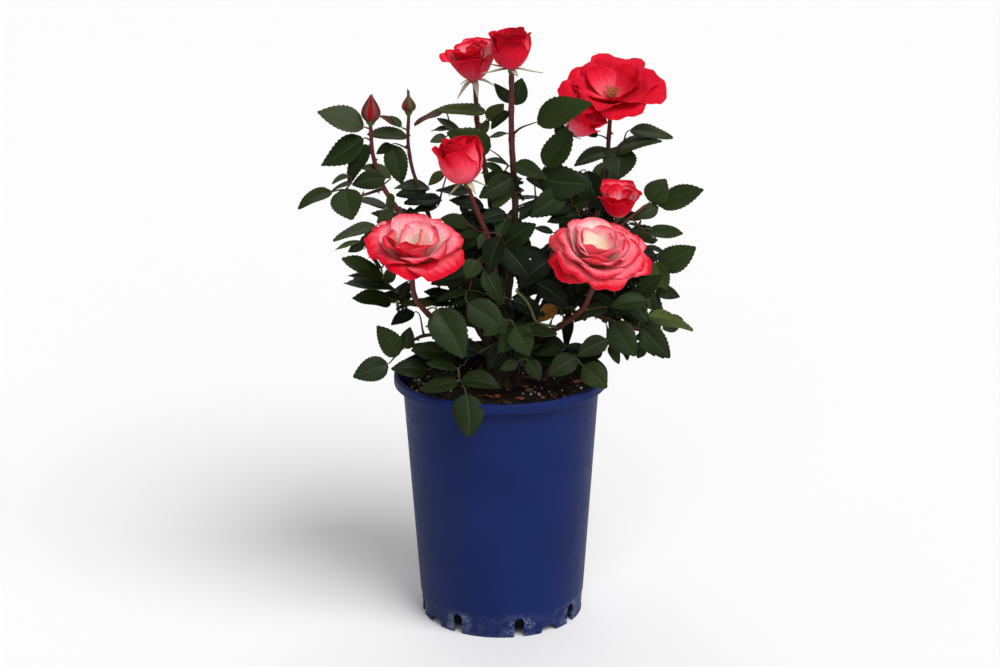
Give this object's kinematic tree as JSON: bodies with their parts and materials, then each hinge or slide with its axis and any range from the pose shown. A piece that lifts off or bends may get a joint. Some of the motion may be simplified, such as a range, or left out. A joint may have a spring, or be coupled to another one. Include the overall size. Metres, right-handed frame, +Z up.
{
  "type": "potted rose bush",
  "caption": "Bushy garden rose with red and cream flowers on upright thorny canes, growing in a tall tapered plastic nursery pot filled with potting mix.",
  "frame": {"origin": "on the pot's axis, on the flat underside that it stands on", "axes": "+Z up through the pot and the bush, -Y towards the front of the bush, +X to the right seen from the front"},
  "size_m": [0.3738, 0.266, 0.5598],
  "materials": {
    "pot_plastic": "moulded, satin, faintly scuffed",
    "potting_mix": "damp, crumbly, with white grains and bark chips",
    "bark": "rough, furrowed",
    "cane": "smooth, thorny, dark red when young and green-brown when older",
    "petal": "velvety, red at the edges and cream to pink inside",
    "bud": "green sepals over a dark red tip",
    "leaf": "dark green, semi-gloss"
  },
  "bodies": {
    "root": {"bloom_left_low": "petal", "bloom_middle": "petal", "bloom_right_large": "petal", "bloom_right_low": "petal", "bloom_right_small": "petal", "bloom_right_under": "petal", "bloom_top_centre": "petal", "bloom_top_left": "petal", "bud_centre_left": "bud", "bud_left": "bud", "cane_centre": "cane", "cane_front_centre": "cane", "cane_front_left": "cane", "cane_front_right": "cane", "cane_left": "cane", "cane_left_centre": "cane", "cane_rear_centre": "cane", "cane_rear_left": "cane", "cane_rear_right": "cane", "cane_right": "cane", "cane_right_middle": "cane", "cane_top_left": "cane", "leaves_centre": "leaf", "leaves_centre_left": "leaf", "leaves_centre_right_upper": "leaf", "leaves_centre_upper": "leaf", "leaves_front_centre": "leaf", "leaves_front_left": "leaf", "leaves_left_inner": "leaf", "leaves_left_low": "leaf", "leaves_left_lower": "leaf", "leaves_left_middle": "leaf", "leaves_left_tip": "leaf", "leaves_left_upper": "leaf", "leaves_mid_left": "leaf", "leaves_mid_right": "leaf", "leaves_over_rim": "leaf", "leaves_rear_centre": "leaf", "leaves_rear_left": "leaf", "leaves_rear_left_upper": "leaf", "leaves_rear_low": "leaf", "leaves_rear_right": "leaf", "leaves_rear_right_upper": "leaf", "leaves_right_inner": "leaf", "leaves_right_low": "leaf", "leaves_right_mid": "leaf", "leaves_right_tip": "leaf", "leaves_right_top": "leaf", "leaves_right_upper": "leaf", "leaves_rim_left": "leaf", "leaves_rim_right": "leaf", "leaves_top_centre": "leaf", "leaves_top_left": "leaf", "main_stem": "bark", "pot": "pot_plastic", "potting_mix": "potting_mix", "shoot_left": "cane", "shoot_low_left": "cane", "shoot_low_right": "cane", "shoot_right": "cane"}
  },
  "joints": []
}
